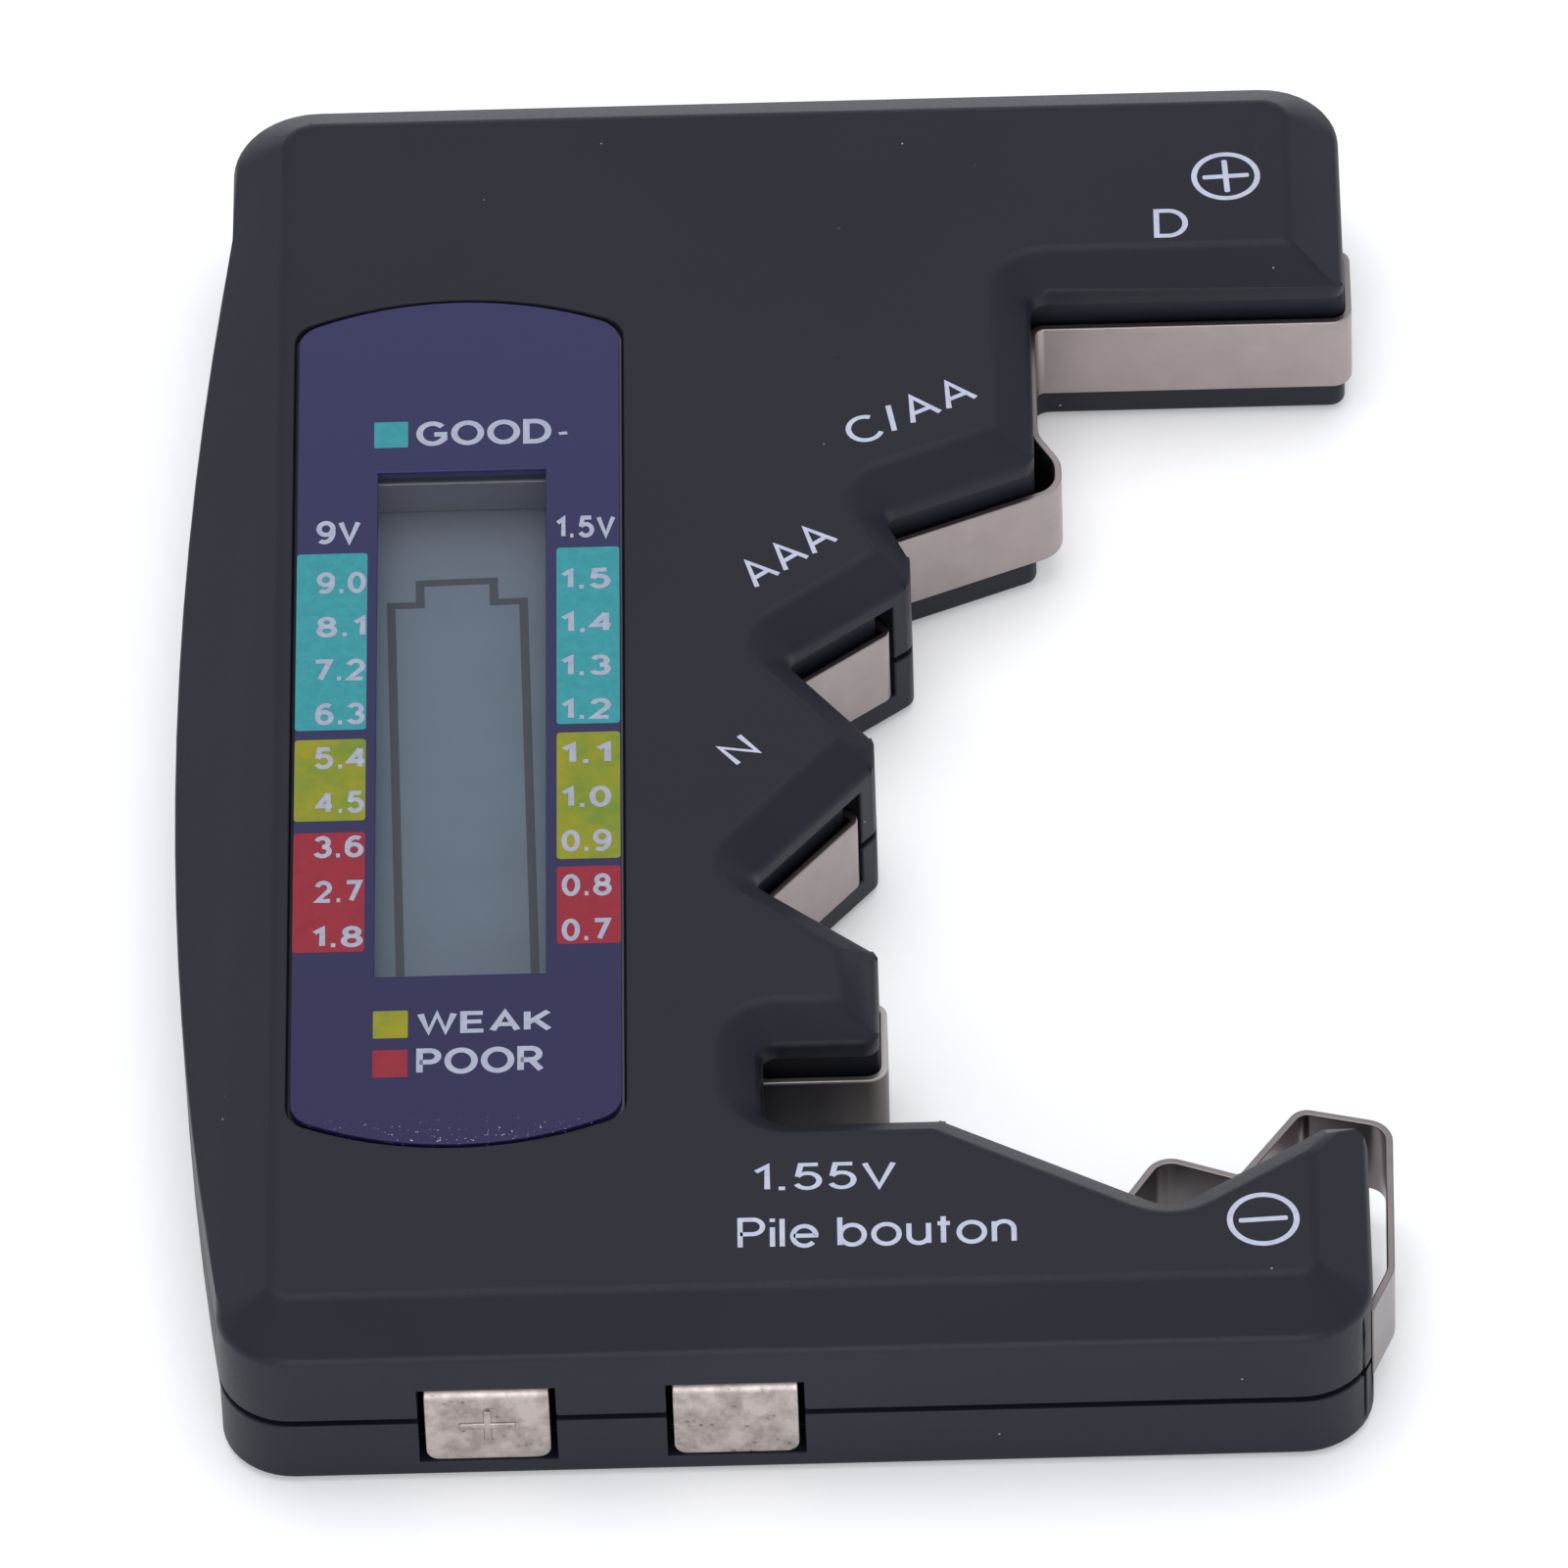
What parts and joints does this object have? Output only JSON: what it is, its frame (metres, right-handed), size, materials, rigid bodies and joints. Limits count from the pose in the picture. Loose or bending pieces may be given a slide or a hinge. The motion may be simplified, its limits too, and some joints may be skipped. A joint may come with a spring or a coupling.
{
  "type": "battery tester",
  "caption": "Flat handheld battery tester with a stepped mouth for round cells, a bent negative spring, a button cell pocket, two square pads in one side and a tall display",
  "frame": {"origin": "middle of the box's bottom, on the back's resting face", "axes": "+Y runs along the case to the arm for the largest cell, +X to the open mouth, +Z out of the face"},
  "size_m": [0.063, 0.0922, 0.0108],
  "materials": {
    "case_plastic": "black ABS with a fine spark texture",
    "label_print": "dark blue printed polycarbonate sheet, satin",
    "lens_clear": "clear acrylic, polished",
    "display_film": "grey polarising film",
    "display_glass": "thin clear display glass",
    "contact_rubber": "striped conductive silicone",
    "board": "green solder resist on fibreglass",
    "chip_resin": "black epoxy drop",
    "resistor_body": "black glazed ceramic with tinned ends",
    "capacitor_body": "tan ceramic with tinned ends",
    "strip_steel": "nickel plated spring steel, finely brushed",
    "pad_nickel": "nickel plated steel, dull and a little pitted",
    "screw_steel": "blackened steel",
    "wire_red": "red PVC insulation",
    "wire_black": "black PVC insulation"
  },
  "bodies": {
    "tester": {"front_case": "case_plastic", "back_case": "case_plastic", "display_label": "label_print", "display_lens": "lens_clear", "display_polarizer": "display_film", "display_front_glass": "display_glass", "display_back_glass": "display_glass", "display_reflector": "display_film", "display_contact_rubbers": "contact_rubber", "circuit_board": "board", "chip_blob": "chip_resin", "resistors": "resistor_body", "capacitors": "capacitor_body", "positive_strip_d_c_aa": "strip_steel", "positive_strip_aaa": "strip_steel", "positive_strip_n": "strip_steel", "positive_strip_button": "strip_steel", "negative_strip_button": "strip_steel", "nine_volt_positive_pad": "pad_nickel", "nine_volt_negative_pad": "pad_nickel", "case_screws": "screw_steel", "wire_positive_c_aa": "wire_red", "wire_positive_aaa": "wire_red", "wire_positive_n": "wire_red", "wire_positive_button": "wire_red", "wire_negative": "wire_black", "wire_nine_volt_positive": "wire_red", "wire_nine_volt_negative": "wire_black"},
    "spring": {"negative_spring": "strip_steel"}
  },
  "joints": [
    {"name": "negative_spring_press", "type": "slide", "parent": "tester", "child": "spring", "axis": [-0.3843, -0.9232, 0], "range_m": [0, 0.0018], "stiffness_N_per_m": 1500}
  ]
}
